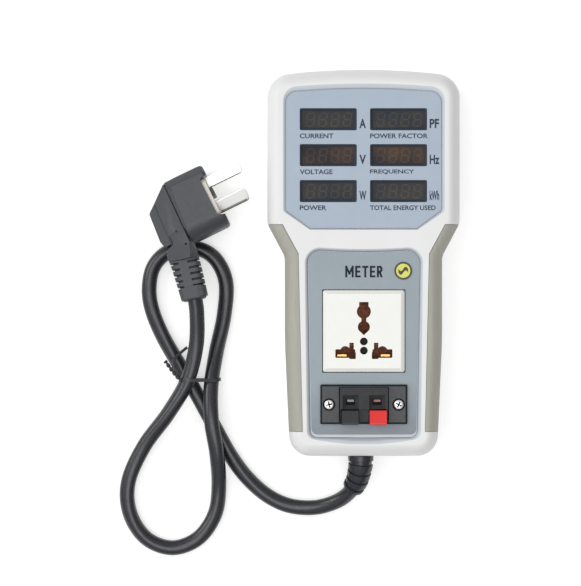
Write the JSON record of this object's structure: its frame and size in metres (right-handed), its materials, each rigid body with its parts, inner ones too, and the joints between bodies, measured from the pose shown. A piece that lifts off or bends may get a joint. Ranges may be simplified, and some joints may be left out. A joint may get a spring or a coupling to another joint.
{
  "type": "plug in power meter",
  "caption": "Hand-held mains power meter with LED read-outs, a universal socket, a spring push terminal and a short cord to a right-angle three-pin plug.",
  "frame": {"origin": "centre of the meter's own footprint, on the surface under its rubber feet", "axes": "+Z out of the front face, +Y along the meter towards the displays, +X to the right of the face"},
  "size_m": [0.1755, 0.2514, 0.052],
  "materials": {
    "shell_white": "fine satin moulded ABS",
    "grip_grey": "fine textured overmoulded rubber",
    "overlay_blue": "satin printed polycarbonate sheet",
    "lens_smoked": "smoked red-brown acrylic",
    "led_module": "matte black with pale segments",
    "circuit_board": "solder mask",
    "chip_black": "moulded epoxy",
    "wire_grey": "PVC insulation",
    "transformer_iron": "laminated iron",
    "shunt_alloy": "manganin",
    "capacitor_sleeve": "shrink sleeve",
    "fuse_glass": "clear glass with metal caps",
    "panel_grey": "satin printed sheet",
    "badge_yellow": "printed disc",
    "socket_white": "smooth moulded",
    "housing_brown": "moulded phenolic",
    "contact_brass": "pressed strip",
    "terminal_black": "moulded, fine grain",
    "lever_red": "moulded",
    "lever_black": "moulded",
    "spring_steel": "spring strip",
    "screw_steel": "nickel plated",
    "cord_black": "satin PVC sheath",
    "clamp_white": "moulded",
    "wire_brown": "PVC insulation",
    "wire_blue": "PVC insulation",
    "wire_green": "PVC insulation",
    "plug_black": "satin moulded PVC",
    "carrier_beige": "moulded insert",
    "pin_nickel": "nickel plated brass",
    "tie_black": "plastic-coated wire",
    "feet_rubber": "soft rubber",
    "label_silver": "blank foil label"
  },
  "bodies": {
    "meter": {"front_shell": "shell_white", "rear_shell": "shell_white", "left_side_grip": "grip_grey", "right_side_grip": "grip_grey", "display_overlay": "overlay_blue", "window_lens": "lens_smoked", "current_display": "led_module", "voltage_display": "led_module", "power_display": "led_module", "power_factor_display": "led_module", "frequency_display": "led_module", "energy_display": "led_module", "display_board": "circuit_board", "display_driver_chips": "chip_black", "display_board_screws": "screw_steel", "board_ribbon": "wire_grey", "main_board": "circuit_board", "main_board_screws": "screw_steel", "supply_transformer": "transformer_iron", "metering_chip": "chip_black", "current_shunt": "shunt_alloy", "filter_capacitors": "capacitor_sleeve", "fuse": "fuse_glass", "lower_panel": "panel_grey", "panel_badge": "badge_yellow", "socket_face": "socket_white", "socket_housing": "housing_brown", "socket_live_contact": "contact_brass", "socket_neutral_contact": "contact_brass", "socket_earth_contact": "contact_brass", "socket_terminal_screws": "screw_steel", "terminal_base": "terminal_black", "red_lever_spring": "spring_steel", "black_lever_spring": "spring_steel", "red_terminal_contact": "contact_brass", "black_terminal_contact": "contact_brass", "terminal_screws": "screw_steel", "cord_strain_relief": "cord_black", "cord_inner_end": "cord_black", "cord_clamp": "clamp_white", "cord_clamp_screws": "screw_steel", "cord_live_wire": "wire_brown", "cord_neutral_wire": "wire_blue", "cord_earth_wire": "wire_green", "socket_feed_wires": "wire_grey", "terminal_feed_wires": "wire_grey", "power_cord": "cord_black", "plug_body": "plug_black", "plug_pin_carrier": "carrier_beige", "plug_live_pin": "pin_nickel", "plug_neutral_pin": "pin_nickel", "plug_earth_pin": "pin_nickel", "cord_tie": "tie_black", "case_screws": "screw_steel", "rear_feet": "feet_rubber", "rear_label": "label_silver"},
    "red_lever": {"red_lever": "lever_red"},
    "black_lever": {"black_lever": "lever_black"}
  },
  "joints": [
    {"name": "red_lever_pivot", "type": "hinge", "parent": "meter", "child": "red_lever", "pos_m": [0.0072, -0.0768, 0.0465], "axis": [1, 0, 0], "range_deg": [0, 15], "stiffness_Nm_per_rad": 0.02, "deforming": ["red_lever_spring"]},
    {"name": "black_lever_pivot", "type": "hinge", "parent": "meter", "child": "black_lever", "pos_m": [-0.0072, -0.0768, 0.0465], "axis": [1, 0, 0], "range_deg": [0, 15], "stiffness_Nm_per_rad": 0.02, "deforming": ["black_lever_spring"]}
  ]
}
